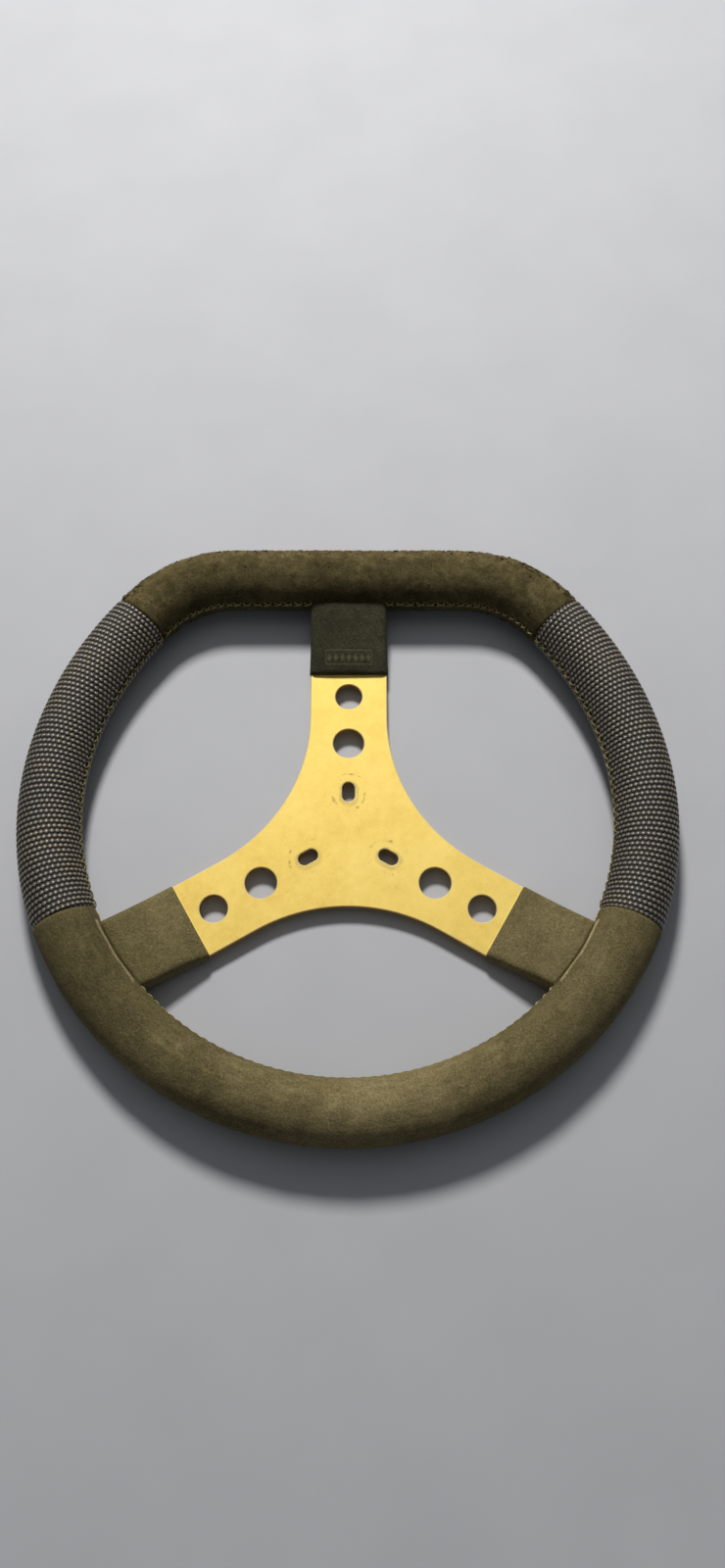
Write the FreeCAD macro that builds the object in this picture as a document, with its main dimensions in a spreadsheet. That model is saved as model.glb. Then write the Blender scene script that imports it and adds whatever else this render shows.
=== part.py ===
import FreeCAD, Part
import math
import os
import Sketcher
from FreeCAD import Placement, Rotation, Vector

# A flat-topped kart steering wheel. Its hub plate is a three-spoke aluminium plate whose
# spoke ends are bent up and riveted to steel tabs. The tabs are welded to a steel tube ring,
# and the ring carries moulded foam under stitched covers. A padded boot closes each spoke end.
# Frame: the hub axis is Z, the plate's hub face is z = 0, the driver is on the +Z side and
# +Y points to the flat top of the rim.

SIZES = [
    ("rim_radius", 149.0, "radius of the rim's centre line round the sides and the bottom"),
    ("rim_centre_y", 11.7, "height of that arc's centre above the hub axis"),
    ("flat_top_y", 141.2, "height of the centre line along the flat top"),
    ("shoulder_radius", 170.5, "flatter arc between the round part and each top corner"),
    ("shoulder_start", 14.4, "angle where the shoulder arc begins, in degrees"),
    ("corner_radius", 59.7, "radius of each top corner"),
    ("rim_height", 12.0, "height of the rim's centre line above the hub face"),
    ("core_radius", 7.0, "outside radius of the steel core tube"),
    ("core_bore", 5.5, "inside radius of the steel core tube"),
    ("foam_radius", 14.3, "outside radius of the foam"),
    ("suede_radius", 15.75, "outside radius over the suede covers"),
    ("grip_radius", 16.0, "outside radius over the textured grip covers"),
    ("seam_high", 43.6, "angle of the upper joint of each grip cover, in degrees"),
    ("seam_low", 22.9, "angle of the lower joint below the horizontal, in degrees"),
    ("thread_radius", 0.45, "radius of the sewing thread"),
    ("plate_thickness", 4.0, "thickness of the hub plate"),
    ("spoke_width", 40.0, "width of each spoke"),
    ("flat_reach", 89.0, "distance from the hub axis to the bend in each spoke"),
    ("web_radius", 90.0, "radius of the concave edge between two spokes"),
    ("edge_break", 0.4, "chamfer on the edges of the plate"),
    ("slot_radius", 23.2, "distance from the hub axis to the middle of each slot"),
    ("slot_width", 6.5, "width of each slot"),
    ("slot_length", 10.5, "length of each slot from end to end"),
    ("inner_hole_reach", 50.0, "distance from the hub axis to each large hole"),
    ("inner_hole_radius", 8.0, "radius of each large hole"),
    ("outer_hole_reach", 76.5, "distance from the hub axis to each small hole"),
    ("outer_hole_radius", 7.0, "radius of each small hole"),
    ("tongue_width", 32.0, "width of the bent end of each spoke"),
    ("tongue_length", 27.0, "length of the bent end of each spoke"),
    ("tongue_tilt", 13.0, "angle of the bent end above the plate, in degrees"),
    ("tab_width", 24.0, "width of each steel tab"),
    ("tab_start", 8.0, "distance from the bend to the free end of each tab"),
    ("tab_length", 42.0, "length of each tab, which ends on the core tube"),
    ("tab_thickness", 3.0, "thickness of each steel tab"),
    ("rivet_reach", 17.0, "distance from the bend to the rivets"),
    ("rivet_offset", 8.0, "distance of each rivet from the middle of the spoke"),
    ("rivet_radius", 2.5, "radius of a rivet's shank"),
    ("rivet_head_radius", 4.5, "radius of a rivet's head"),
    ("rivet_head_height", 1.6, "height of a rivet's head"),
    ("boot_start", 89.3, "distance from the hub axis to the open end of each boot"),
    ("boot_end", 136.0, "distance to the buried end of each boot, inside the rim"),
    ("boot_width", 41.0, "width of a boot at its open end"),
    ("boot_end_width", 38.0, "width of a boot at the rim"),
    ("boot_low", -2.8, "height of a boot's rear face at its open end"),
    ("boot_high", 6.8, "height of a boot's front face at its open end"),
    ("boot_end_low", -0.5, "height of a boot's rear face at the rim"),
    ("boot_end_high", 19.6, "height of a boot's front face at the rim"),
    ("boot_corner", 3.0, "corner radius of a boot's section"),
    ("boot_skin", 1.0, "thickness of a boot's cover"),
    ("stitch_length", 5.0, "length of a stitch across the seam behind a boot"),
    ("stitch_pitch", 4.5, "distance between those stitches"),
    ("stitch_start", 95.0, "distance from the hub axis to the first of those stitches"),
]

SPOKES = {"top": 0.0, "left": 120.0, "right": -120.0}
WEDGE_REACH = 400.0
WEDGE_HEIGHT = 80.0
STITCH_COUNT = 7
EXACT = 1e-6
UP = Vector(0, 0, 1)

doc = FreeCAD.newDocument("kart_wheel")
sheet = doc.addObject("Spreadsheet::Sheet", "sizes")
for row, (alias, number, meaning) in enumerate(SIZES, start=1):
    sheet.set("A%d" % row, alias)
    sheet.set("B%d" % row, str(number))
    sheet.setAlias("B%d" % row, alias)
    sheet.set("C%d" % row, meaning)
doc.recompute()


def size(alias):
    return float(getattr(sheet, alias))


def value(formula):
    """The present value of a formula that is written in the sheet's names."""
    return float(sheet.evalExpression(formula.replace("sizes.", "")))


def bind(item, **formulas):
    """Tie the named properties of a document object to formulas on the sheet."""
    for name, formula in formulas.items():
        item.setExpression(name, formula)
    return item


def turn(angle):
    return Placement(Vector(0, 0, 0), Rotation(UP, angle))


# ---------------------------------------------------------------- sketches and solids


def origin_feature(body, role):
    return next(item for item in body.Origin.OriginFeatures if item.Role == role)


def new_sketch(body, name, role, offset=None):
    sketch = body.newObject("Sketcher::SketchObject", name)
    sketch.AttachmentSupport = (origin_feature(body, role), [""])
    sketch.MapMode = "FlatFace"
    if offset is not None:
        sketch.AttachmentOffset = offset
    return sketch


def dimension(sketch, formula, kind, *where):
    """Add a dimension to a sketch and tie it to a formula on the sheet."""
    index = sketch.addConstraint(Sketcher.Constraint(kind, *where, value(formula)))
    sketch.setExpression("Constraints[%d]" % index, formula)


def rectangle(sketch, width, low, high):
    """A rectangle centred on the sketch's vertical axis. All three sizes are formulas."""
    half = value(width) / 2
    bottom = value(low)
    top = value(high)
    corners = [Vector(-half, bottom), Vector(half, bottom), Vector(half, top), Vector(-half, top)]
    for here, there in zip(corners, corners[1:] + corners[:1]):
        sketch.addGeometry(Part.LineSegment(here, there))
    for edge in range(4):
        sketch.addConstraint(Sketcher.Constraint("Coincident", edge, 2, (edge + 1) % 4, 1))
    for edge, kind in ((1, "Vertical"), (2, "Horizontal"), (3, "Vertical")):
        sketch.addConstraint(Sketcher.Constraint(kind, edge))
    sketch.addConstraint(Sketcher.Constraint("Symmetric", 0, 1, 0, 2, -2))
    dimension(sketch, width, "DistanceX", 0, 1, 0, 2)
    if bottom == 0:
        sketch.addConstraint(Sketcher.Constraint("PointOnObject", 0, 1, -1))
    else:
        dimension(sketch, low, "DistanceY", -1, 1, 0, 1)
    dimension(sketch, high, "DistanceY", -1, 1, 2, 1)


def circle(sketch, across, along, radius):
    """A circle placed and sized by formulas."""
    middle = Vector(value(across), value(along), 0)
    index = sketch.addGeometry(Part.Circle(middle, UP, value(radius)))
    if middle.x == 0:
        sketch.addConstraint(Sketcher.Constraint("PointOnObject", index, 3, -2))
    else:
        dimension(sketch, across, "DistanceX", -1, 1, index, 3)
    dimension(sketch, along, "DistanceY", -1, 1, index, 3)
    dimension(sketch, radius, "Radius", index)


def fuse(label, pieces):
    joined = doc.addObject("Part::MultiFuse", label)
    joined.Shapes = pieces
    return joined


def cut(label, base, tools):
    """Take every tool out of the base."""
    piece = doc.addObject("Part::Cut", label)
    piece.Base = base
    piece.Tool = tools[0] if len(tools) == 1 else fuse(label + "_tools", tools)
    return piece


def common(label, first, second):
    piece = doc.addObject("Part::Common", label)
    piece.Base = first
    piece.Tool = second
    return piece


def group(label, pieces):
    """Separate solids that are kept as one sub-part."""
    together = doc.addObject("Part::Compound", label)
    together.Links = pieces
    return together


# ---------------------------------------------------------------- the rim's outline


def rim_arcs():
    """Centres and angles of the arcs on the right of the rim, and the half length of its flat."""
    start = math.radians(size("shoulder_start"))
    main = Vector(0, size("rim_centre_y"))
    shift = size("rim_radius") - size("shoulder_radius")
    shoulder = main + Vector(math.cos(start), math.sin(start)) * shift
    corner_y = size("flat_top_y") - size("corner_radius")
    gap = size("shoulder_radius") - size("corner_radius")
    corner_x = shoulder.x + math.sqrt(gap**2 - (corner_y - shoulder.y) ** 2)
    corner_start = math.degrees(math.atan2(corner_y - shoulder.y, corner_x - shoulder.x))
    return main, shoulder, Vector(corner_x, corner_y), corner_start


def ring(label, thickness, inset="0"):
    """A solid ring that follows the rim, with its centre line moved inwards by the inset."""
    main, shoulder, corner, corner_start = rim_arcs()
    begin = size("shoulder_start")
    arcs = [("round", main, "rim_radius", 180 - begin, 180 + 2 * begin)]
    for side, mirror in (("right", 1), ("left", -1)):
        for name, centre, first, last in (
            ("shoulder", shoulder, begin, corner_start),
            ("corner", corner, corner_start, 90),
        ):
            place = Vector(mirror * centre.x, centre.y)
            low = first if mirror == 1 else 180 - last
            arcs.append(("%s_%s" % (name, side), place, name + "_radius", low, last - first))
    pieces = []
    for name, centre, radius, low, sweep in arcs:
        torus = doc.addObject("Part::Torus", "%s_%s" % (label, name))
        bind(torus, Radius1="sizes.%s - (%s)" % (radius, inset), Radius2=thickness)
        bind(torus, **{".Placement.Base.z": "sizes.rim_height"})
        torus.Angle3 = sweep
        torus.Placement = Placement(Vector(centre.x, centre.y, size("rim_height")), Rotation(UP, low))
        pieces.append(torus)
    flat = doc.addObject("Part::Cylinder", label + "_flat")
    bind(flat, Radius=thickness)
    flat.Height = 2 * corner.x
    flat.Placement = Placement(Vector(-corner.x, 0, 0), Rotation(Vector(0, 1, 0), 90))
    bind(flat, **{".Placement.Base.y": "sizes.flat_top_y - (%s)" % inset})
    bind(flat, **{".Placement.Base.z": "sizes.rim_height"})
    return fuse(label, pieces + [flat])


def wedge(label, first, sweep):
    """A sector about the rim's centre that holds one length of the rim."""
    sector = doc.addObject("Part::Cylinder", label)
    sector.Radius = WEDGE_REACH
    sector.Height = WEDGE_HEIGHT
    bind(sector, Angle=sweep)
    base = Vector(0, size("rim_centre_y"), -WEDGE_HEIGHT / 2)
    sector.Placement = Placement(base, Rotation(UP, value(first)))
    return sector


# ---------------------------------------------------------------- hub plate


def tongue_frame():
    """The plane of a bent spoke end, which starts at the bend on the hub face."""
    tilt = Rotation(Vector(1, 0, 0), size("tongue_tilt"))
    return Placement(Vector(0, size("flat_reach"), 0), tilt)


def pad(body, name, sketch, length):
    feature = body.newObject("PartDesign::Pad", name)
    feature.Profile = sketch
    bind(feature, Length=length)
    return feature


def through_pocket(body, name, sketch):
    """A pocket that cuts both ways from its sketch."""
    feature = body.newObject("PartDesign::Pocket", name)
    feature.Profile = sketch
    feature.Type = "ThroughAll"
    feature.Midplane = True
    return feature


def three_times(body, name, features):
    pattern = body.newObject("PartDesign::PolarPattern", name)
    pattern.Originals = features
    pattern.Axis = (origin_feature(body, "Z_Axis"), [""])
    pattern.Angle = 360
    pattern.Occurrences = len(SPOKES)
    body.Tip = pattern
    return pattern


def web_sketch(body):
    """The sheet between two spokes: the hub axis, two tangent points and the concave arc."""
    sketch = new_sketch(body, "web_outline", "XY_Plane")
    radius = size("web_radius")
    middle = Vector(radius + size("spoke_width") / 2, 0)
    middle.y = middle.x * math.tan(math.radians(30))
    first = Vector(middle.x - radius, middle.y)
    last = middle + Vector(-radius * math.cos(math.radians(60)), -radius * math.sin(math.radians(60)))
    sketch.addGeometry(Part.LineSegment(Vector(0, 0), first))
    bow = Part.Circle(middle, UP, radius)
    sketch.addGeometry(Part.ArcOfCircle(bow, math.radians(180), math.radians(240)))
    sketch.addGeometry(Part.LineSegment(last, Vector(0, 0)))
    for edge in range(3):
        sketch.addConstraint(Sketcher.Constraint("Coincident", edge, 2, (edge + 1) % 3, 1))
    sketch.addConstraint(Sketcher.Constraint("Coincident", 0, 1, -1, 1))
    centre_x = "(sizes.web_radius + sizes.spoke_width / 2)"
    dimension(sketch, "sizes.web_radius", "Radius", 1)
    dimension(sketch, centre_x, "DistanceX", -1, 1, 1, 3)
    dimension(sketch, centre_x + " * tan(30 deg)", "DistanceY", -1, 1, 1, 3)
    sketch.addConstraint(Sketcher.Constraint("Horizontal", 1, 1, 1, 3))
    dimension(sketch, "(sizes.web_radius + sizes.spoke_width) / 2", "DistanceX", -1, 1, 1, 2)
    return sketch


def slot(sketch):
    """A radial slot with round ends, centred on the spoke."""
    half = size("slot_width") / 2
    low = size("slot_radius") - size("slot_length") / 2 + half
    high = size("slot_radius") + size("slot_length") / 2 - half
    start = sketch.GeometryCount
    sketch.addGeometry(Part.LineSegment(Vector(half, low), Vector(half, high)))
    sketch.addGeometry(Part.ArcOfCircle(Part.Circle(Vector(0, high), UP, half), 0, math.pi))
    sketch.addGeometry(Part.LineSegment(Vector(-half, high), Vector(-half, low)))
    sketch.addGeometry(
        Part.ArcOfCircle(Part.Circle(Vector(0, low), UP, half), math.pi, 2 * math.pi)
    )
    for step in range(4):
        here = start + step
        there = start + (step + 1) % 4
        sketch.addConstraint(Sketcher.Constraint("Tangent", here, 2, there, 1))
    for end in (start + 1, start + 3):
        sketch.addConstraint(Sketcher.Constraint("PointOnObject", end, 3, -2))
    dimension(sketch, "sizes.slot_width / 2", "Radius", start + 1)
    inner = "sizes.slot_radius - sizes.slot_length / 2 + sizes.slot_width / 2"
    outer = "sizes.slot_radius + sizes.slot_length / 2 - sizes.slot_width / 2"
    dimension(sketch, inner, "DistanceY", -1, 1, start + 3, 3)
    dimension(sketch, outer, "DistanceY", -1, 1, start + 1, 3)


def flat_edges(shape):
    """The edges round the plate's two flat faces, apart from those at the spoke ends."""
    names = []
    for index, edge in enumerate(shape.Edges, start=1):
        middle = edge.valueAt((edge.FirstParameter + edge.LastParameter) / 2)
        heights = [point.z for point in edge.discretize(5)] + [middle.z]
        level = max(heights) - min(heights) < EXACT
        on_face = min(abs(middle.z), abs(middle.z - size("plate_thickness"))) < EXACT
        at_bend = math.hypot(middle.x, middle.y) > size("flat_reach") - size("edge_break") * 4
        if level and on_face and not at_bend:
            names.append("Edge%d" % index)
    return names


def make_plate():
    body = doc.addObject("PartDesign::Body", "spoke_plate")
    spoke = new_sketch(body, "spoke_outline", "XY_Plane")
    rectangle(spoke, "sizes.spoke_width", "0", "sizes.flat_reach")
    spoke_pad = pad(body, "spoke_pad", spoke, "sizes.plate_thickness")
    web_pad = pad(body, "web_pad", web_sketch(body), "sizes.plate_thickness")
    three_times(body, "spokes_and_webs", [spoke_pad, web_pad])
    tongue = new_sketch(body, "tongue_outline", "XY_Plane", tongue_frame())
    rectangle(tongue, "sizes.tongue_width", "0", "sizes.tongue_length")
    tongue_pad = pad(body, "tongue_pad", tongue, "sizes.plate_thickness")
    three_times(body, "tongues", [tongue_pad])
    holes = new_sketch(body, "hole_outlines", "XY_Plane")
    slot(holes)
    circle(holes, "0", "sizes.inner_hole_reach", "sizes.inner_hole_radius")
    circle(holes, "0", "sizes.outer_hole_reach", "sizes.outer_hole_radius")
    rivet_holes = new_sketch(body, "rivet_holes", "XY_Plane", tongue_frame())
    for sign in ("-", ""):
        circle(rivet_holes, sign + "sizes.rivet_offset", "sizes.rivet_reach", "sizes.rivet_radius")
    doc.recompute()
    before = body.Shape.Volume
    pockets = [
        through_pocket(body, "hub_pocket", holes),
        through_pocket(body, "rivet_pocket", rivet_holes),
    ]
    pattern = three_times(body, "all_holes", pockets)
    doc.recompute()
    round_holes = size("inner_hole_radius") ** 2 + size("outer_hole_radius") ** 2
    least = len(SPOKES) * math.pi * round_holes * size("plate_thickness")
    if before - body.Shape.Volume < least:
        raise RuntimeError("the plate's holes were not cut")
    chamfer = body.newObject("PartDesign::Chamfer", "edge_break")
    chamfer.Base = (pattern, flat_edges(pattern.Shape))
    bind(chamfer, Size="sizes.edge_break")
    body.Tip = chamfer
    return body


# ---------------------------------------------------------------- spoke fixings


def tab_blank(side):
    """The flat steel tab under a bent spoke end, before it is fitted to the core tube."""
    box = doc.addObject("Part::Box", "tab_blank_" + side)
    bind(box, Length="sizes.tab_width", Width="sizes.tab_length", Height="sizes.tab_thickness")
    corner = Vector(-size("tab_width") / 2, size("tab_start"), -size("tab_thickness"))
    box.Placement = turn(SPOKES[side]) * tongue_frame() * Placement(corner, Rotation())
    return box


def rivet(side, hand):
    """One rivet: a shank through tongue and tab with a flat head on each side."""
    name = "rivet_%s_%s" % (side, "a" if hand < 0 else "b")
    grip = "sizes.plate_thickness + sizes.tab_thickness"
    head = "sizes.rivet_head_height"
    bottom = -size("tab_thickness")
    spans = [
        ("shank", "sizes.rivet_radius", grip, bottom),
        ("rear_head", "sizes.rivet_head_radius", head, bottom - size("rivet_head_height")),
        ("front_head", "sizes.rivet_head_radius", head, size("plate_thickness")),
    ]
    pieces = []
    for part_name, radius, height, level in spans:
        piece = doc.addObject("Part::Cylinder", "%s_%s" % (name, part_name))
        bind(piece, Radius=radius, Height=height)
        spot = Vector(hand * size("rivet_offset"), size("rivet_reach"), level)
        piece.Placement = turn(SPOKES[side]) * tongue_frame() * Placement(spot, Rotation())
        pieces.append(piece)
    return fuse(name, pieces)


# ---------------------------------------------------------------- boots


def rounded_section(body, name, reach, width, low, high, corner):
    """A rounded rectangle across the spoke, at a distance from the hub axis."""
    offset = Placement(Vector(0, 0, -value(reach)), Rotation())
    sketch = new_sketch(body, name, "XZ_Plane", offset)
    half, bottom, top, radius = value(width) / 2, value(low), value(high), value(corner)
    across = half - radius
    rows = [
        (Vector(-across, bottom), Vector(across, bottom), Vector(across, bottom + radius), 270),
        (Vector(half, bottom + radius), Vector(half, top - radius), Vector(across, top - radius), 0),
        (Vector(across, top), Vector(-across, top), Vector(-across, top - radius), 90),
        (Vector(-half, top - radius), Vector(-half, bottom + radius), Vector(-across, bottom + radius),
         180),
    ]
    for here, there, middle, angle in rows:
        sketch.addGeometry(Part.LineSegment(here, there))
        arc = Part.Circle(middle, UP, radius)
        sketch.addGeometry(Part.ArcOfCircle(arc, math.radians(angle), math.radians(angle + 90)))
    for edge in range(8):
        sketch.addConstraint(Sketcher.Constraint("Tangent", edge, 2, (edge + 1) % 8, 1))
    for edge, kind in ((2, "Vertical"), (4, "Horizontal"), (6, "Vertical")):
        sketch.addConstraint(Sketcher.Constraint(kind, edge))
    sketch.addConstraint(Sketcher.Constraint("Symmetric", 0, 1, 0, 2, -2))
    for arc_index in (3, 5, 7):
        sketch.addConstraint(Sketcher.Constraint("Equal", 1, arc_index))
    dimension(sketch, corner, "Radius", 1)
    dimension(sketch, "(%s) - 2 * (%s)" % (width, corner), "DistanceX", 0, 1, 0, 2)
    dimension(sketch, low, "DistanceY", -1, 1, 0, 1)
    dimension(sketch, high, "DistanceY", -1, 1, 4, 1)
    return sketch


def boot_block(label, side, skin):
    """A tapered block from the boot's open end into the rim, smaller all round by the skin."""
    body = doc.addObject("PartDesign::Body", label)
    corner = "sizes.boot_corner - %s" % skin
    near = rounded_section(
        body, label + "_near", "sizes.boot_start + %s" % skin, "sizes.boot_width - 2 * %s" % skin,
        "sizes.boot_low + %s" % skin, "sizes.boot_high - %s" % skin, corner,
    )
    far = rounded_section(
        body, label + "_far", "sizes.boot_end", "sizes.boot_end_width - 2 * %s" % skin,
        "sizes.boot_end_low + %s" % skin, "sizes.boot_end_high - %s" % skin, corner,
    )
    loft = body.newObject("PartDesign::AdditiveLoft", label + "_loft")
    loft.Profile = near
    loft.Sections = [far]
    loft.Ruled = True
    body.Placement = turn(SPOKES[side])
    return body


def boot_stitches(side):
    """Short threads that lie across the closing seam on the rear of a boot."""
    slope = (size("boot_end_low") - size("boot_low")) / (size("boot_end") - size("boot_start"))
    threads = []
    for count in range(STITCH_COUNT):
        reach = size("stitch_start") + count * size("stitch_pitch")
        level = size("boot_low") + slope * (reach - size("boot_start")) - size("thread_radius") * 1.05
        thread = doc.addObject("Part::Cylinder", "stitch_%s_%d" % (side, count))
        bind(thread, Radius="sizes.thread_radius", Height="sizes.stitch_length")
        spot = Placement(Vector(-size("stitch_length") / 2, reach, level), Rotation(Vector(0, 1, 0), 90))
        thread.Placement = turn(SPOKES[side]) * spot
        threads.append(thread)
    return group("boot_stitch_" + side, threads)


# ---------------------------------------------------------------- assembly

plate = make_plate()
core_solid = ring("core_solid", "sizes.core_radius")
core_tube = cut("rim_core_tube", core_solid, [ring("core_hollow", "sizes.core_bore")])
foam_solid = ring("foam_solid", "sizes.foam_radius")
suede_solid = ring("suede_solid", "sizes.suede_radius")
grip_solid = ring("grip_solid", "sizes.grip_radius")
tabs = {side: cut("spoke_tab_" + side, tab_blank(side), [core_solid]) for side in SPOKES}
rivets = {side: group("rivets_" + side, [rivet(side, -1), rivet(side, 1)]) for side in SPOKES}
foam = cut("rim_foam", foam_solid, [core_solid] + list(tabs.values()))

boot_covers = {}
boot_foams = {}
boot_outsides = {}
for side in SPOKES:
    outside = boot_block("boot_outside_" + side, side, "0")
    inside = boot_block("boot_inside_" + side, side, "sizes.boot_skin")
    boot_outsides[side] = outside
    boot_covers[side] = cut("boot_cover_" + side, outside, [inside, suede_solid, plate])
    fixings = [suede_solid, plate, tabs[side], rivets[side]]
    boot_foams[side] = cut("boot_foam_" + side, inside, fixings)
stitches = [boot_stitches(side) for side in SPOKES]

suede_shell = cut("suede_shell", suede_solid, [foam_solid] + list(tabs.values()))
grip_shell = cut("grip_shell", grip_solid, [foam_solid])
suede_thread = ring("suede_thread", "sizes.thread_radius", "sizes.suede_radius + sizes.thread_radius")
grip_thread = ring("grip_thread", "sizes.thread_radius", "sizes.grip_radius + sizes.thread_radius")
clear_thread = cut("clear_thread", suede_thread, list(boot_outsides.values()))

side_sweep = "sizes.seam_high + sizes.seam_low"
sections = [
    ("upper", "sizes.seam_high", "180 - 2 * sizes.seam_high", "suede_cover", suede_shell, clear_thread),
    ("left", "180 - sizes.seam_high", side_sweep, "grip_cover", grip_shell, grip_thread),
    ("lower", "180 + sizes.seam_low", "180 - 2 * sizes.seam_low", "suede_cover", suede_shell, clear_thread),
    ("right", "-sizes.seam_low", side_sweep, "grip_cover", grip_shell, grip_thread),
]
covers = []
threads = []
for name, first, sweep, kind, shell, seam in sections:
    sector = wedge("wedge_" + name, first, sweep)
    covers.append(common("%s_%s" % (kind, name), shell, sector))
    threads.append(common("seam_thread_" + name, seam, sector))

subparts = [plate, core_tube, foam]
subparts += list(tabs.values()) + list(rivets.values())
subparts += covers + threads
subparts += list(boot_foams.values()) + list(boot_covers.values()) + stitches

doc.recompute()
for item in doc.Objects:
    if "Invalid" in item.State or "Error" in item.State:
        raise RuntimeError("failed: %s %s" % (item.Name, item.State))
for item in subparts:
    if item.Shape.isNull() or not item.Shape.isValid():
        raise RuntimeError("bad shape: " + item.Label)

os.makedirs("parts", exist_ok=True)
for item in subparts:
    item.Shape.exportStep("parts/%s.step" % item.Label)
    print(item.Label, len(item.Shape.Solids), "solids", round(item.Shape.Volume, 1), "mm3")
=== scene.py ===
"""Looks for the flat-topped three-spoke kart steering wheel: suede and pebbled grip covers with a sewn
inner seam, padded spoke boots, a gold anodised plate, studio light and the camera."""
import math

import bpy
import numpy as np
from mathutils import Euler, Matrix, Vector


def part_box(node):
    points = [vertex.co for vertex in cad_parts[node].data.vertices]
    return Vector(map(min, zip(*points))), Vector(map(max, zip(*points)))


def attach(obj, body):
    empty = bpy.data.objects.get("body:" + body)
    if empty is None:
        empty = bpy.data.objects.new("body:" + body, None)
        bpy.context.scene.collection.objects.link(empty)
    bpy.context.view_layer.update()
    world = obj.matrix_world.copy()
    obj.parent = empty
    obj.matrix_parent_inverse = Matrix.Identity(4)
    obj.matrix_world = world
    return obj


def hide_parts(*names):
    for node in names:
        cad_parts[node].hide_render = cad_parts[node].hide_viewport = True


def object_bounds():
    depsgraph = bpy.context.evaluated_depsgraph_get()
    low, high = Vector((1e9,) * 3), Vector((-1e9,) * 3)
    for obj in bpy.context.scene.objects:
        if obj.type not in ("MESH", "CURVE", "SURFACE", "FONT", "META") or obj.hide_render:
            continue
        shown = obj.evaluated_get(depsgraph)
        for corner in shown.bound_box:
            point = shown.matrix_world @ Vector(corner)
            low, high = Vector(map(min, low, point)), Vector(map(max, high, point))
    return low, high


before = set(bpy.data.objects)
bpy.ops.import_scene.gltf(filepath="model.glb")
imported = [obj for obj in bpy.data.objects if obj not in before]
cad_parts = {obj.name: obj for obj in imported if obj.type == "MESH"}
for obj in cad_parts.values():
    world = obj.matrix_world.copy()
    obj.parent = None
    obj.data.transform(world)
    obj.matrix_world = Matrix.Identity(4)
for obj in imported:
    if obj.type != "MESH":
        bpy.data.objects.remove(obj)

cad_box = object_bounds()
MM = 0.001

# ---------------------------------------------------------------- sizes from the frame
foam_low, foam_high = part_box("rim_foam")
suede_low, suede_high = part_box("suede_cover_lower")
grip_low, grip_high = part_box("grip_cover_right")
boot_low, boot_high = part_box("boot_cover_top")
RIM_Z = (foam_low.z + foam_high.z) / 2
FOAM_R = (foam_high.z - foam_low.z) / 2
SUEDE_R = (suede_high.z - suede_low.z) / 2
GRIP_R = (grip_high.z - grip_low.z) / 2
RIM_R = foam_high.x - FOAM_R
TOP_Y = foam_high.y - FOAM_R
CENTRE_Y = foam_low.y + FOAM_R + RIM_R
BOOT_START = boot_low.y
BOOT_HALF = (boot_high.x - boot_low.x) / 2
TABLE_Z = cad_box[0][2]

# Driving sizes that the frame's boxes don't give.
SHOULDER_R = 170.5 * MM
SHOULDER_START = math.radians(14.4)
CORNER_R = 59.7 * MM
SEAM_HIGH = math.radians(43.6)
SEAM_LOW = math.radians(-22.9)
INNER_SKIN = FOAM_R + 0.1 * MM
SPOKE_ANGLES = {"top": 90, "left": 210, "right": 330}
STITCH_PITCH = 5.4 * MM

# The hidden inside of a cover has its rings this many times further apart than the outside.
INNER_COARSER = 12

# How far the seam creeps towards the driver above the lower cover, and how much it wanders.
SEAM_CREEP = math.radians(8.5)
SEAM_WANDER = math.radians(0.9)

# The grips' pebbles.
PEBBLES_ROUND = 37
PEBBLE_ROW = 2.65 * MM
PEBBLE_DEPTH = 0.9 * MM
POINTS_PER_PEBBLE = 7


# ---------------------------------------------------------------- the rim's centre line
def arc(centre, radius, start, end):
    """Points every tenth of a millimetre along an arc, and the outward normals there."""
    count = int((end - start) * radius / (0.1 * MM))
    angles = np.linspace(start, end, count)
    normals = np.stack([np.cos(angles), np.sin(angles)], 1)
    return centre + radius * normals, normals


def rim_line():
    """The closed centre line from the bottom, anticlockwise: distance, point, normal and angle."""
    centre = np.array([0.0, CENTRE_Y])
    lean = np.array([math.cos(SHOULDER_START), math.sin(SHOULDER_START)])
    shoulder = centre + (RIM_R - SHOULDER_R) * lean
    corner_y = TOP_Y - CORNER_R
    reach = SHOULDER_R - CORNER_R
    corner_x = shoulder[0] + math.sqrt(reach**2 - (corner_y - shoulder[1]) ** 2)
    corner = np.array([corner_x, corner_y])
    turn = math.atan2(corner_y - shoulder[1], corner_x - shoulder[0])
    flat_x = np.arange(corner_x, 0, -0.1 * MM)
    flat = np.stack([flat_x, np.full_like(flat_x, TOP_Y)], 1)
    parts = [
        arc(centre, RIM_R, -math.pi / 2, SHOULDER_START),
        arc(shoulder, SHOULDER_R, SHOULDER_START, turn),
        arc(corner, CORNER_R, turn, math.pi / 2),
        (flat, np.tile([0.0, 1.0], (len(flat), 1))),
    ]
    points = np.concatenate([p[1:] for p, _ in parts])
    normals = np.concatenate([n[1:] for _, n in parts])
    mirror = np.array([-1.0, 1.0])
    points = np.concatenate([points, points[::-1] * mirror])
    normals = np.concatenate([normals, normals[::-1] * mirror])
    steps = np.linalg.norm(np.diff(points, axis=0), axis=1)
    along = np.concatenate([[0.0], np.cumsum(steps)])
    angles = np.unwrap(np.arctan2(points[:, 1] - CENTRE_Y, points[:, 0]))
    return along, points, normals, angles


LINE_S, LINE_P, LINE_N, LINE_A = rim_line()


def along_at(angle):
    """Distance along the rim at an angle about the main arc's centre."""
    return float(np.interp(angle, LINE_A, LINE_S))


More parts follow.
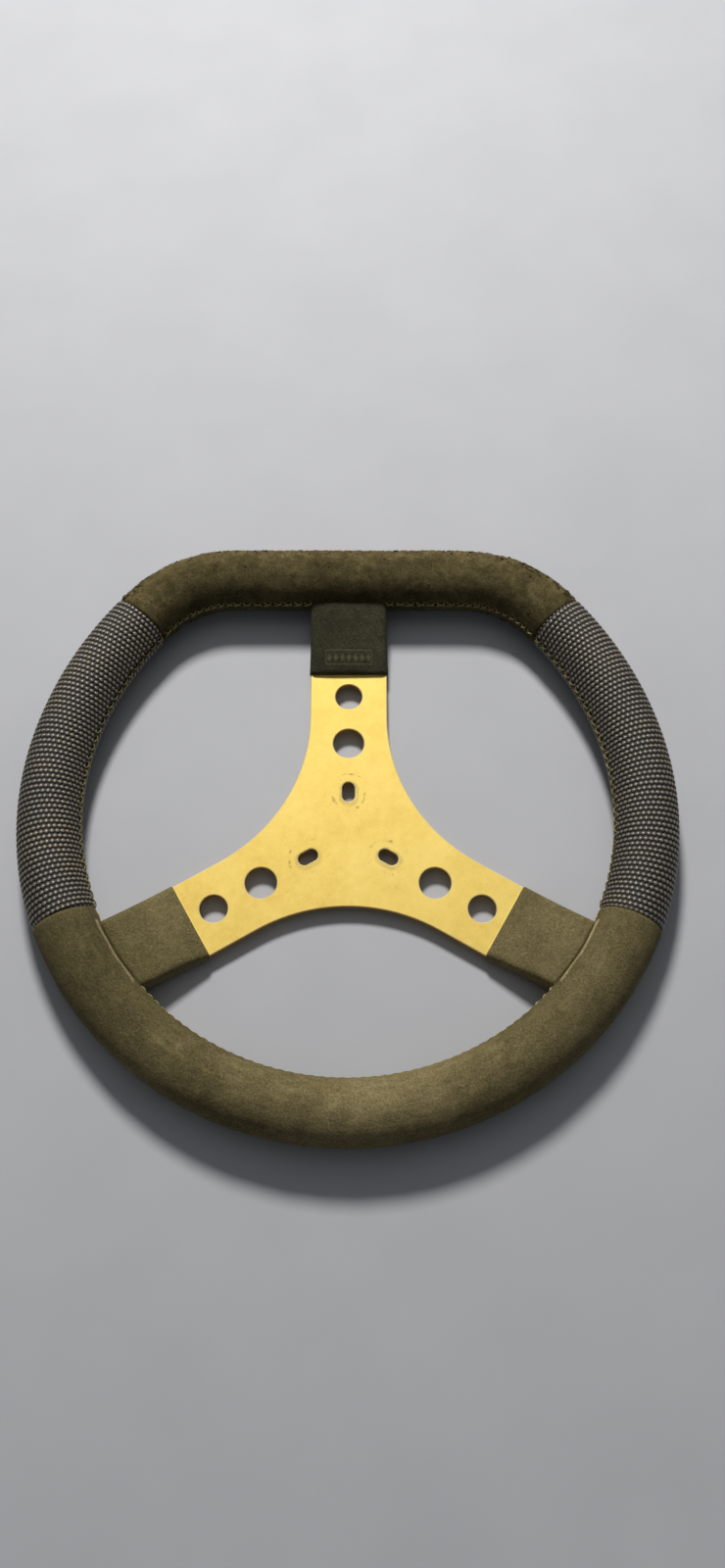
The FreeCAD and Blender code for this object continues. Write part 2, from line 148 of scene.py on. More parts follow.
def on_tube(s, phi, radius):
    """Points on a tube about the rim line, none of them below the table.

    phi is 0 at the very inside of the rim and a quarter turn on the driver's side."""
    px = np.interp(s, LINE_S, LINE_P[:, 0])
    py = np.interp(s, LINE_S, LINE_P[:, 1])
    nx = np.interp(s, LINE_S, LINE_N[:, 0])
    ny = np.interp(s, LINE_S, LINE_N[:, 1])
    outward = -np.cos(phi) * radius
    height = np.maximum(RIM_Z + np.sin(phi) * radius, TABLE_Z)
    x, y, z = np.broadcast_arrays(px + nx * outward, py + ny * outward, height)
    return np.stack([x, y, z], -1)


# ---------------------------------------------------------------- mesh helpers
def link(name, mesh, replaced=()):
    """A smooth piece on the root body and the CAD nodes that it stands for."""
    piece = bpy.data.objects.new(name, mesh)
    bpy.context.scene.collection.objects.link(piece)
    mesh.shade_smooth()
    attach(piece, "root")
    if replaced:
        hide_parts(*replaced)
    return piece


def mesh_of(name, vertices, faces):
    """A mesh from arrays, where every face has as many corners as the array is wide."""
    mesh = bpy.data.meshes.new(name)
    mesh.vertices.add(len(vertices))
    mesh.vertices.foreach_set("co", np.asarray(vertices, np.float32).ravel())
    mesh.loops.add(faces.size)
    mesh.loops.foreach_set("vertex_index", np.asarray(faces, np.int32).ravel())
    mesh.polygons.add(len(faces))
    mesh.polygons.foreach_set("loop_start", np.arange(len(faces), dtype=np.int32) * faces.shape[1])
    mesh.update(calc_edges=True)
    mesh.validate()
    return mesh


def grid_faces(rows, columns, close_rows=False):
    """Quads of a grid that closes on itself across the columns, and along the rows if asked."""
    i = np.arange(rows if close_rows else rows - 1)[:, None]
    j = np.arange(columns)[None, :]
    below, above = (i * columns), ((i + 1) % rows) * columns
    right = (j + 1) % columns
    quads = [below + j, below + right, above + right, above + j]
    return np.stack([np.broadcast_to(q, (len(i), columns)) for q in quads], -1).reshape(-1, 4)


def add_attribute(mesh, name, values):
    """A number at each vertex, for the material."""
    attribute = mesh.attributes.new(name, "FLOAT", "POINT")
    attribute.data.foreach_set("value", np.asarray(values, np.float32).ravel())


def waves(s, t, seed, size, count=9):
    """Smooth seeded unevenness between about -1 and 1, with features of about that size."""
    rng = np.random.RandomState(seed)
    total = 0
    for _ in range(count):
        heading, phase = rng.uniform(0, 2 * math.pi, 2)
        length = size * rng.uniform(0.7, 1.6)
        step = s * math.cos(heading) + t * math.sin(heading)
        total = total + np.sin(2 * math.pi * step / length + phase)
    return total / math.sqrt(count)


def sweep(paths, radius, sides=6):
    """Round threads along many paths at once. paths is count by points by 3; the threads narrow at both
    ends, which are left open.
    """
    count, points, _ = paths.shape
    tangent = np.gradient(paths, axis=1)
    tangent /= np.linalg.norm(tangent, axis=2, keepdims=True)
    side = np.cross(tangent, [0.31, 0.17, 0.94])
    side /= np.linalg.norm(side, axis=2, keepdims=True)
    other = np.cross(tangent, side)
    angles = np.linspace(0, 2 * math.pi, sides, endpoint=False)
    taper = np.ones(points)
    taper[0] = taper[-1] = 0.55
    rings = side[:, :, None] * np.cos(angles)[:, None] + other[:, :, None] * np.sin(angles)[:, None]
    vertices = paths[:, :, None] + rings * (radius * taper)[None, :, None, None]
    quads = grid_faces(points, sides)
    faces = (quads[None] + (np.arange(count) * points * sides)[:, None, None]).reshape(-1, 4)
    return vertices.reshape(-1, 3), faces


# ---------------------------------------------------------------- rim covers
def cover(name, s_start, s_end, step, phis, outer, node):
    """A closed sleeve round the foam: the outer skin's rows, then a plain inner skin back to the start."""
    rows = np.linspace(s_start, s_end, int((s_end - s_start) / step) + 1)
    back = np.linspace(s_end, s_start, int((s_end - s_start) / (INNER_COARSER * step)) + 2)
    radius, height = outer(rows[:, None], phis[None, :])
    inner = np.full((len(back), len(phis)), INNER_SKIN)
    radius = np.concatenate([radius, inner])
    s = np.concatenate([rows, back])
    vertices = on_tube(s[:, None], phis[None, :], radius)
    mesh = mesh_of(name, vertices.reshape(-1, 3), grid_faces(len(s), len(phis), True))
    shape = (len(s), len(phis))
    folded = np.minimum(phis, 2 * math.pi - phis) * SUEDE_R
    add_attribute(mesh, "along", np.broadcast_to(s[:, None], shape))
    add_attribute(mesh, "around", np.broadcast_to(folded[None, :], shape))
    add_attribute(mesh, "turn", np.broadcast_to(phis[None, :] * SUEDE_R, shape))
    add_attribute(mesh, "relief", np.concatenate([height, np.zeros(inner.shape)]))
    piece = link(name, mesh, [node])
    return piece


def seam_turn(s):
    """How far the sewn seam has crept from the very inside towards the driver.

    On the lower cover it has hardly crept at all."""
    angle = np.interp(s, LINE_S, LINE_A)
    lift = np.clip((np.sin(angle) + 0.45) / 0.35, 0, 1)
    return SEAM_CREEP * lift + SEAM_WANDER * np.sin(5 * angle)


def from_seam(s, phi, radius):
    """Distance over the skin from the sewn seam."""
    return np.abs((phi - seam_turn(s) + math.pi) % (2 * math.pi) - math.pi) * radius


def seam_shape(s, phi, radius):
    """How far the skin falls into the sewn inner seam, and swells beside it between the stitches."""
    distance = from_seam(s, phi, radius)
    pucker = 0.5 + 0.5 * np.cos(2 * math.pi * s / STITCH_PITCH)
    groove = -1.15 * MM * np.exp(-((distance / (0.75 * MM)) ** 2))
    lip = 0.45 * MM * np.exp(-(((distance - 2.3 * MM) / (1.1 * MM)) ** 2)) * (0.35 + 0.65 * pucker)
    return groove + lip


def end_tuck(s, s_start, s_end, depth, width):
    """How far a cover turns down at its two ends, where it is sewn to its neighbour."""
    near = np.minimum(s - s_start, s_end - s)
    return -depth * np.exp(-((near / width) ** 2))


def suede_cover(name, start_angle, end_angle, node, seed, rough):
    """A stretched suede sleeve. rough is the height of its rubbed-up lumps on the outer side."""
    s_start, s_end = along_at(start_angle), along_at(end_angle)
    turn = np.linspace(0, 2 * math.pi, 168, endpoint=False)
    phis = turn - 0.55 * np.sin(turn)

    def outer(s, phi):
        t = phi * SUEDE_R
        soft = 0.10 * MM * waves(s, t, seed, 34 * MM) + 0.05 * MM * waves(s, t, seed + 1, 11 * MM)
        away = 1 - np.exp(-((np.minimum(phi, 2 * math.pi - phi) / 0.3) ** 2))
        worn = np.exp(-(((phi - 2.6) / 1.0) ** 2))
        lumps = np.clip(waves(s, t, seed + 2, 3.4 * MM, 14) + 0.5 * waves(s, t, seed + 3, 9 * MM), -1.2, 2)
        radius = SUEDE_R + soft * away + rough * lumps * worn + seam_shape(s, phi, SUEDE_R)
        radius = radius + end_tuck(s, s_start, s_end, 0.85 * MM, 0.7 * MM)
        return radius, np.clip(0.5 + soft / (0.3 * MM), 0, 1) + 0 * phi

    return cover(name, s_start, s_end, 0.75 * MM, phis, outer, node)


def grip_cover(name, start_angle, end_angle, node, slant):
    """The moulded grip: round pebbles in rows around the rim, each row shifted by half a pebble.

    slant is how many rows the pattern climbs in one turn."""
    s_start, s_end = along_at(start_angle), along_at(end_angle)
    phis = np.linspace(0, 2 * math.pi, PEBBLES_ROUND * POINTS_PER_PEBBLE, endpoint=False)
    row_pitch = (s_end - s_start) / round((s_end - s_start) / PEBBLE_ROW)

    def outer(s, phi):
        drift = 0.18 * np.sin(s / (31 * MM)) + 0.12 * np.sin(s / (13 * MM) + 2)
        row = 2 * np.pi * (s - s_start) / row_pitch - slant * phi + 0.25 * np.sin(phi * 2 + s / (40 * MM))
        step = PEBBLES_ROUND * phi + drift
        total = 1.5 * np.cos(row) + np.cos(row / 2 + step) + np.cos(row / 2 - step)
        pebble = np.sin(np.clip((total + 1.5) / 3.4, 0, 1) * math.pi / 2) ** 0.85
        distance = from_seam(s, phi, GRIP_R)
        shown = 1 - np.exp(-((distance / (1.6 * MM)) ** 2))
        radius = GRIP_R - PEBBLE_DEPTH + PEBBLE_DEPTH * pebble * shown + seam_shape(s, phi, GRIP_R)
        radius = radius + end_tuck(s, s_start, s_end, 0.7 * MM, 0.6 * MM)
        return radius, pebble * shown

    return cover(name, s_start, s_end, row_pitch / POINTS_PER_PEBBLE, phis, outer, node)


# ---------------------------------------------------------------- sewing
def clear_of_boots(s, margin):
    """Whether the inner seam is open to view there, and not under a boot."""
    x = np.interp(s, LINE_S, LINE_P[:, 0])
    y = np.interp(s, LINE_S, LINE_P[:, 1])
    clear = np.ones(len(s), bool)
    for angle in SPOKE_ANGLES.values():
        ux, uy = math.cos(math.radians(angle)), math.sin(math.radians(angle))
        across = np.abs(x * uy - y * ux)
        clear &= ~((across < BOOT_HALF - margin) & (x * ux + y * uy > 0))
    return clear


def seam_stitches(name, start_angle, end_angle, radius, node, seed, sunk):
    """Pairs of threads that cross over the inner seam, end to end, as a chain of lozenges.

    sunk is how far they have pulled down into the skin."""
    s_start, s_end = along_at(start_angle), along_at(end_angle)
    count = int((s_end - s_start) / STITCH_PITCH)
    first = s_start + ((s_end - s_start) - (count - 1) * STITCH_PITCH) / 2
    centres = first + np.arange(count) * STITCH_PITCH
    rng = np.random.RandomState(seed)
    centres = centres[clear_of_boots(centres, 1.5 * MM)]
    half, reach, thread = 0.47 * STITCH_PITCH, 1.35 * MM, 0.27 * MM
    t = np.linspace(-1, 1, 13)[None, :]
    arch = np.sqrt(np.clip(1 - (np.abs(t) ** 3), 0, 1))
    paths = []
    for sense, lift in ((1, 0.10 * MM), (-1, 0.50 * MM)):
        wobble = rng.uniform(-0.22, 0.22, (len(centres), 4)) * MM
        s = centres[:, None] + t * half + wobble[:, :1]
        across = sense * (t * (reach + wobble[:, 1:2])) + wobble[:, 2:3] * (1 - t**2)
        rise = -0.75 * MM - sunk + (1.0 * MM + lift * (1 - t**2)) * arch
        paths.append(on_tube(s, across / radius + seam_turn(s), radius + rise))
    vertices, faces = sweep(np.concatenate(paths), thread)
    return link(name, mesh_of(name, vertices, faces), [node])


# ---------------------------------------------------------------- suede nap
def fibres(name, s, phi, radius, length, seed):
    """Short bent fibres that stand out of the suede, and taper to a point."""
    rng = np.random.RandomState(seed)
    count = len(s)
    base = on_tube(s, phi, radius - 0.1 * MM)
    up = on_tube(s, phi, radius + 1 * MM) - on_tube(s, phi, radius)
    up /= np.linalg.norm(up, axis=1, keepdims=True)
    lean = rng.normal(0, 1, (count, 3))
    lean -= up * np.sum(lean * up, 1, keepdims=True)
    lean /= np.linalg.norm(lean, axis=1, keepdims=True)
    slope = rng.uniform(0.5, 2.2, (count, 1))
    middle = base + (up + 0.6 * slope * lean) * length[:, None] * 0.45
    tip = base + (up * 0.8 + 1.3 * slope * lean) * length[:, None] * 0.75
    side = np.cross(up, lean)
    width = rng.uniform(0.045, 0.10, (count, 1)) * MM
    ring = [side, -0.5 * side + 0.8 * lean, -0.5 * side - 0.8 * lean]
    corners = [base + r * width for r in ring] + [middle + r * width * 0.8 for r in ring] + [tip]
    vertices = np.stack(corners, 1).reshape(-1, 3)
    vertices[:, 2] = np.maximum(vertices[:, 2], TABLE_Z)
    own = []
    for k in range(3):
        nxt = (k + 1) % 3
        own += [[k, nxt, 3 + nxt], [k, 3 + nxt, 3 + k], [3 + k, 3 + nxt, 6]]
    own += [[0, 2, 1]]
    faces = (np.array(own)[None] + (np.arange(count) * 7)[:, None, None]).reshape(-1, 3)
    return link(name, mesh_of(name, vertices, faces))


def pills(name, s, phi, radius, size, seed):
    """Small rubbed-up balls of nap: uneven six-sided crumbs, half sunk in the suede."""
    rng = np.random.RandomState(seed)
    count = len(s)
    centre = on_tube(s, phi, radius)
    up = on_tube(s, phi, radius + 1 * MM) - centre
    up /= np.linalg.norm(up, axis=1, keepdims=True)
    lean = np.cross(up, rng.normal(0, 1, (count, 3)))
    lean /= np.linalg.norm(lean, axis=1, keepdims=True)
    side = np.cross(up, lean)
    angles = np.linspace(0, 2 * math.pi, 6, endpoint=False)
    corners = [centre + up * (size * rng.uniform(0.35, 0.8, count))[:, None]]
    for level, spread in ((0.25, 0.8), (-0.2, 1.0)):
        for angle in angles:
            out = lean * math.cos(angle) * 1.25 + side * math.sin(angle) * 0.8
            jitter = rng.uniform(0.7, 1.2, (count, 1))
            corners.append(centre + (out * spread * jitter + up * level) * size[:, None])
    corners.append(centre - up * size[:, None] * 0.5)
    vertices = np.stack(corners, 1).reshape(-1, 3)
    vertices[:, 2] = np.maximum(vertices[:, 2], TABLE_Z)
    own = []
    for k in range(6):
        nxt = (k + 1) % 6
        own += [[0, 1 + k, 1 + nxt], [1 + k, 7 + k, 7 + nxt]]
        own += [[1 + k, 7 + nxt, 1 + nxt], [13, 7 + nxt, 7 + k]]
    per = len(corners)
    faces = (np.array(own)[None] + (np.arange(count) * per)[:, None, None]).reshape(-1, 3)
    return link(name, mesh_of(name, vertices, faces))


def scatter(s_start, s_end, count, weight, seed):
    """Seeded places on a cover, kept where weight(s, phi) is higher than a random draw."""
    rng = np.random.RandomState(seed)
    s = rng.uniform(s_start + 1 * MM, s_end - 1 * MM, count)
    phi = rng.uniform(0.25, 2 * math.pi - 0.25, count)
    keep = rng.uniform(0, 1, count) < weight(s, phi)
    return s[keep], phi[keep]


def upper_nap():
    """The upper cover is rubbed up worst on its outer side and round its two corners."""
    s_start, s_end = along_at(SEAM_HIGH), along_at(math.pi - SEAM_HIGH)
    middle = (s_start + s_end) / 2

    def worn(s, phi):
        outer = np.exp(-(((phi - 2.75) / 0.75) ** 2))
        corners = np.clip(np.abs(s - middle) / (95 * MM), 0, 1) ** 2
        patch = np.clip(0.55 + 0.6 * waves(s, phi * SUEDE_R, 71, 14 * MM), 0.05, 1)
        return np.clip((0.07 + outer * (0.65 + 0.5 * corners) + corners * 0.22) * patch, 0, 1)

    s, phi = scatter(s_start, s_end, 26000, worn, 5)
    rng = np.random.RandomState(6)
    fibres("suede_nap_upper", s, phi, SUEDE_R, rng.uniform(0.35, 1.5, len(s)) * MM, 7)
    s, phi = scatter(s_start, s_end, 6500, worn, 8)
    corner = np.clip(np.abs(s - middle) / (95 * MM), 0, 1) ** 2 * np.clip((phi - 1.9) / 0.5, 0, 1)
    size = (rng.gamma(2.0, 0.125, len(s)) * (1 + 1.9 * corner)).clip(0.10, 1.2) * MM
    pills("suede_pills_upper", s, phi, SUEDE_R, size, 9)


def lower_nap():
    """The lower cover is worn smooth, with only a little nap left standing."""
    s_start, s_end = along_at(math.pi - SEAM_LOW), along_at(2 * math.pi + SEAM_LOW)

    def thin(s, phi):
        return np.clip(0.35 + 0.4 * waves(s, phi * SUEDE_R, 72, 22 * MM), 0, 1)

    s, phi = scatter(s_start, s_end, 6400, thin, 11)
    rng = np.random.RandomState(12)
    fibres("suede_nap_lower", s, phi, SUEDE_R, rng.uniform(0.2, 0.55, len(s)) * MM, 13)


# ---------------------------------------------------------------- spoke boots
BOOT_ROOT_LOW, BOOT_ROOT_HIGH = boot_low.z, 6.8 * MM
BOOT_TIP_LOW, BOOT_TIP_HIGH = -0.5 * MM, boot_high.z
WELT_PHI = math.radians(23)
CREASE_R = RIM_R - SUEDE_R * math.cos(WELT_PHI) - 0.9 * MM


def boot(side, angle, ending, tip_half, corner, edge, seed, ornament=False):
    """A padded suede boot from the plate to the rim: rounded sections that grow in height along the spoke.

    ending is its length's end, corner the plan radius there and edge the rounding of its two ends."""
    start = BOOT_START - 0.3 * MM
    fine = 0.4 * MM
    lengths = np.arange(start, ending, fine)
    ends = np.array([0, 0.03, 0.1, 0.22, 0.4, 0.65]) * edge
    lengths = np.unique(np.concatenate([lengths, start + ends, ending - ends, [ending]]))
    part = (lengths - start) / (ending - start)
    half = BOOT_HALF + (tip_half - BOOT_HALF) * part
    half = half - 0.35 * MM * np.sin(np.pi * part)
    turn = np.clip((lengths - (ending - corner)) / corner, 0, 1)
    half = half - corner * (1 - np.sqrt(1 - turn**2 * 0.98))
    low = BOOT_ROOT_LOW + (BOOT_TIP_LOW - BOOT_ROOT_LOW) * part
    high = BOOT_ROOT_HIGH + (BOOT_TIP_HIGH - BOOT_ROOT_HIGH) * part
    near = np.clip(1 - np.minimum(lengths - start, ending - lengths) / edge, 0, 1)
    fillet = edge * (1 - np.sqrt(1 - near**2 * 0.995))
    fillet = fillet * np.where(lengths < (start + ending) / 2, 0.6, 1.0)
    half = half - fillet * 0.8
    low, high = low + fillet, high - fillet

    # One section: 0..1 along each run of the rounded rectangle, as a place across and a place in height.
    columns_front, columns_side = 104, 26
    across = np.linspace(-1, 1, columns_front)
    round_r = 3.3 * MM
    rows = []
    for k in range(len(lengths)):
        r = min(round_r, (high[k] - low[k]) * 0.49, half[k] * 0.9)
        bulge = 0.95 * MM * math.sin(math.pi * min(max(part[k], 0.02), 0.98)) ** 0.6
        quarter = np.linspace(0, math.pi / 2, 8)[1:-1]
        front = [(x * (half[k] - r), high[k] + bulge * (1 - x**2)) for x in across]
        right = [(half[k] - r + r * math.sin(q), high[k] - r + r * math.cos(q)) for q in quarter]
        flank = [
            (half[k] + 0.25 * MM * math.sin(math.pi * v), high[k] - r + (low[k] - high[k] + 2 * r) * v)
            for v in np.linspace(0, 1, columns_side)
        ]
        under = [(half[k] - r + r * math.cos(q), low[k] + r - r * math.sin(q)) for q in quarter]
        back = [(-x * (half[k] - r), low[k]) for x in np.linspace(-1, 1, 60)]
        left = [(-x, z) for x, z in (right + flank + under)[::-1]]
        rows.append(front + right + flank + under + back + left)
    section = np.array(rows)
    rows_count, columns = section.shape[:2]
    u, z = section[:, :, 0], section[:, :, 1]
    r_along = np.broadcast_to(lengths[:, None], u.shape)
    front_side = np.clip((z - (high[:, None] - 1.2 * MM)) / (1.0 * MM), 0, 1)
    z = z + 0.20 * MM * waves(r_along, u, seed, 17 * MM) * front_side
    ux, uy = math.cos(math.radians(angle)), math.sin(math.radians(angle))
    x, y = r_along * ux + u * uy, r_along * uy - u * ux
    from_centre = np.hypot(x, y - CENTRE_Y)
    crease = np.exp(-(((from_centre - CREASE_R) / (0.9 * MM)) ** 2)) * front_side * (not ornament)
    z = z - 0.9 * MM * crease
    pressed = np.zeros_like(z)
    if ornament:
        pressed = pressed_mark(r_along - start, u) * front_side
        z = z - 0.32 * MM * pressed
    vertices = np.stack([x, y, z], -1)
    faces = grid_faces(rows_count, columns)[:, ::-1]
    points = vertices.reshape(-1, 3)
    caps = []
    for row, turn_back in ((0, True), (rows_count - 1, False)):
        ring = list(range(row * columns, (row + 1) * columns))
        caps.append(ring if turn_back else ring[::-1])
    mesh = bpy.data.meshes.new(f"boot_{side}")
    mesh.from_pydata(points.tolist(), [], faces.tolist() + caps)
    mesh.update()
    add_attribute(mesh, "along", r_along)
    add_attribute(mesh, "around", u)
    add_attribute(mesh, "relief", pressed)
    # Painted highlight: the top boot's upper end, where it curls over the rim towards the key light.
    lit_end_mask = np.clip(1 - (ending - r_along) / (5 * MM), 0, 1) * front_side
    add_attribute(mesh, "top_end_highlight", lit_end_mask if ornament else 0 * lit_end_mask)
    add_attribute(mesh, "crease", crease)
    piece = link(f"boot_{side}", mesh, [f"boot_cover_{side}", f"boot_foam_{side}"])
    return piece


def boot_welt(side, angle, seed):
    """The rim cover's turned edge where a lower boot is sewn under it."""
    ux, uy = math.cos(math.radians(angle)), math.sin(math.radians(angle))
    across = np.abs(LINE_P[:, 0] * uy - LINE_P[:, 1] * ux)
    ahead = LINE_P[:, 0] * ux + LINE_P[:, 1] * uy > 0
    target = LINE_S[np.argmin(np.where(ahead, across, 1.0))]
    s = target + np.linspace(-1, 1, 90) * 20.6 * MM
    ends = np.abs(s - target) / (20.6 * MM)
    phi = WELT_PHI + math.radians(1.2) * waves(s, 0 * s, seed + 7, 16 * MM)
    sink = 1.4 * MM * np.clip((ends - 0.9) / 0.1, 0, 1) ** 2
    paths = on_tube(s, phi, SUEDE_R + 0.22 * MM - sink)[None]
    vertices, faces = sweep(paths, 0.75 * MM, 10)
    name = f"boot_welt_{side}"
    mesh = mesh_of(name, vertices, faces)
    for key, values in (("along", s), ("turn", phi * SUEDE_R), ("around", phi * SUEDE_R)):
        add_attribute(mesh, key, np.repeat(values, 10))
    return link(name, mesh)


def pressed_mark(r, u):
    """A plain pressed panel near the boot's lower edge: a thin frame round a row of lozenges."""
    middle, half_high, half_wide = 8.2 * MM, 3.6 * MM, 12.0 * MM
    y = (r - middle) / half_high
    x = u / half_wide
    line = 0.5 * MM

    def smooth(value, width):
        return np.clip(0.5 - value / width, 0, 1)

    frame_y = np.abs(np.abs(y) - 1) * half_high
    frame_x = np.abs(np.abs(x) - 1) * half_wide
    on_frame = np.minimum(
        np.where(np.abs(x) <= 1.02, frame_y, 1.0),
        np.where(np.abs(y) <= 1.05, frame_x, 1.0),
    )
    mark = smooth(on_frame - line / 2, 0.35 * MM)
    pitch = half_wide * 2 / 7
    cell = (u + half_wide) % pitch - pitch / 2
    lozenge = np.abs(cell) / (pitch * 0.36) + np.abs(y) / 0.62 - 1
    inside = (np.abs(x) < 1) & (np.abs(y) < 1)
    mark = np.maximum(mark, smooth(lozenge * 1.2 * MM, 0.5 * MM) * inside)
    return mark


def boot_stitches(side, angle, seed):
    """The lacing that closes a boot on its far side: slanted threads over a fine join."""
    rng = np.random.RandomState(seed)
    radii = 95 * MM + 4.5 * MM * np.arange(6)
    ux, uy = math.cos(math.radians(angle)), math.sin(math.radians(angle))
    t = np.linspace(-1, 1, 13)[None, :]
    slant = 1.1 * MM
    part = (radii - BOOT_START) / (boot_high.y - BOOT_START)
    skin = BOOT_ROOT_LOW + (BOOT_TIP_LOW - BOOT_ROOT_LOW) * part
    paths = []
    for sense in (1, -1):
        wobble = rng.uniform(-0.15, 0.15, (len(radii), 2)) * MM
        r = radii[:, None] + t * slant * sense + wobble[:, :1]
        u = t * 2.3 * MM + wobble[:, 1:2]
        drop = 0.55 * MM * np.sqrt(np.clip(1 - t**4, 0, 1)) - 0.3 * MM + (0.25 * MM if sense > 0 else 0)
        z = skin[:, None] - drop + 0 * r
        paths.append(np.stack([r * ux + u * uy, r * uy - u * ux, z], -1))
    vertices, faces = sweep(np.concatenate(paths), 0.33 * MM)
    name = f"boot_lacing_{side}"
    return link(name, mesh_of(name, vertices, faces), [f"boot_stitch_{side}"])


# ---------------------------------------------------------------- materials
def colour(red, green, blue):
    """Display values from 0 to 255 as the linear colour that a shader takes."""
    channels = [c / 255 for c in (red, green, blue)]
    return tuple([c / 12.92 if c <= 0.04045 else ((c + 0.055) / 1.055) ** 2.4 for c in channels]) + (1,)


class Finish:
    """A node material round one Principled shader, with short calls for the usual nodes."""

    def __init__(self, name, **uniform):
        self.material = bpy.data.materials.new(name)
        self.material.use_nodes = True
        self.tree = self.material.node_tree
        self.shader = self.tree.nodes["Principled BSDF"]
        self.place = self.node("ShaderNodeTexCoord").outputs["Object"]
        for socket, value in uniform.items():
            self.shader.inputs[socket.replace("_", " ")].default_value = value

    def node(self, kind, **settings):
        made = self.tree.nodes.new(kind)
        for key, value in settings.items():
            setattr(made, key, value)
        return made

    def put(self, socket, value):
        if isinstance(value, bpy.types.NodeSocket):
            self.tree.links.new(value, socket)
        else:
            socket.default_value = value

    def set(self, socket, value):
        self.put(self.shader.inputs[socket], value)

    def attribute(self, name):
        return self.node("ShaderNodeAttribute", attribute_name=name).outputs["Fac"]

    def noise(self, size, detail=3, roughness=0.55, vector=None, distortion=0.0):
        """Noise with features of that size in metres."""
        made = self.node("ShaderNodeTexNoise")
        self.put(made.inputs["Vector"], vector or self.place)
        made.inputs["Scale"].default_value = 1 / size
        made.inputs["Detail"].default_value = detail
        made.inputs["Roughness"].default_value = roughness
        made.inputs["Distortion"].default_value = distortion
        return made.outputs["Fac"]

    def cells(self, size, feature="F1"):
        made = self.node("ShaderNodeTexVoronoi", feature=feature)
        self.put(made.inputs["Vector"], self.place)
        made.inputs["Scale"].default_value = 1 / size
        return made.outputs["Distance"]

    def math(self, operation, first, second=0.0, third=0.0, clamp=False):
        made = self.node("ShaderNodeMath", operation=operation, use_clamp=clamp)
        for socket, value in zip(made.inputs, (first, second, third)):
            self.put(socket, value)
        return made.outputs[0]

    def vector(self, operation, first, second=None):
        made = self.node("ShaderNodeVectorMath", operation=operation)
        self.put(made.inputs[0], first)
        if second is not None:
            self.put(made.inputs[1], second)
        return made.outputs["Value" if operation in ("DOT_PRODUCT", "DISTANCE", "LENGTH") else "Vector"]

    def stretch(self, value, start, end, low=0.0, high=1.0):
        """value from start..end to low..high, clamped and smoothed."""
        made = self.node("ShaderNodeMapRange")
        made.interpolation_type = "SMOOTHSTEP"
        for socket, number in zip(made.inputs, (value, start, end, low, high)):
            self.put(socket, number)
        return made.outputs["Result"]

    def combine(self, x, y, z=0.0):
        made = self.node("ShaderNodeCombineXYZ")
        for socket, value in zip(made.inputs, (x, y, z)):
            self.put(socket, value)
        return made.outputs[0]

    def ramp(self, value, *stops):
        """A colour ramp through (place, colour) stops."""
        made = self.node("ShaderNodeValToRGB")
        self.put(made.inputs["Fac"], value)
        points = made.color_ramp.elements
        while len(points) < len(stops):
            points.new(1)
        for point, (position, shade) in zip(points, stops):
            point.position = position
            point.color = shade
        return made.outputs["Color"]

    def mix(self, factor, first, second, kind="MIX"):
        made = self.node("ShaderNodeMix", data_type="RGBA", blend_type=kind)
        self.put(made.inputs["Factor"], factor)
        self.put(made.inputs[6], first)
        self.put(made.inputs[7], second)
        return made.outputs[2]

    def bump(self, height, depth, strength=1.0, normal=None):
        """Small relief of that depth in metres."""
        made = self.node("ShaderNodeBump")
        self.put(made.inputs["Height"], height)
        made.inputs["Distance"].default_value = depth
        made.inputs["Strength"].default_value = strength
        if normal is not None:
            self.put(made.inputs["Normal"], normal)
        return made.outputs["Normal"]

    def blend(self, *parts):
        """The weighted sum of (value, weight) pairs."""
        total = 0.0
        for value, weight in parts:
            total = self.math("MULTIPLY_ADD", value, weight, total)
        return total


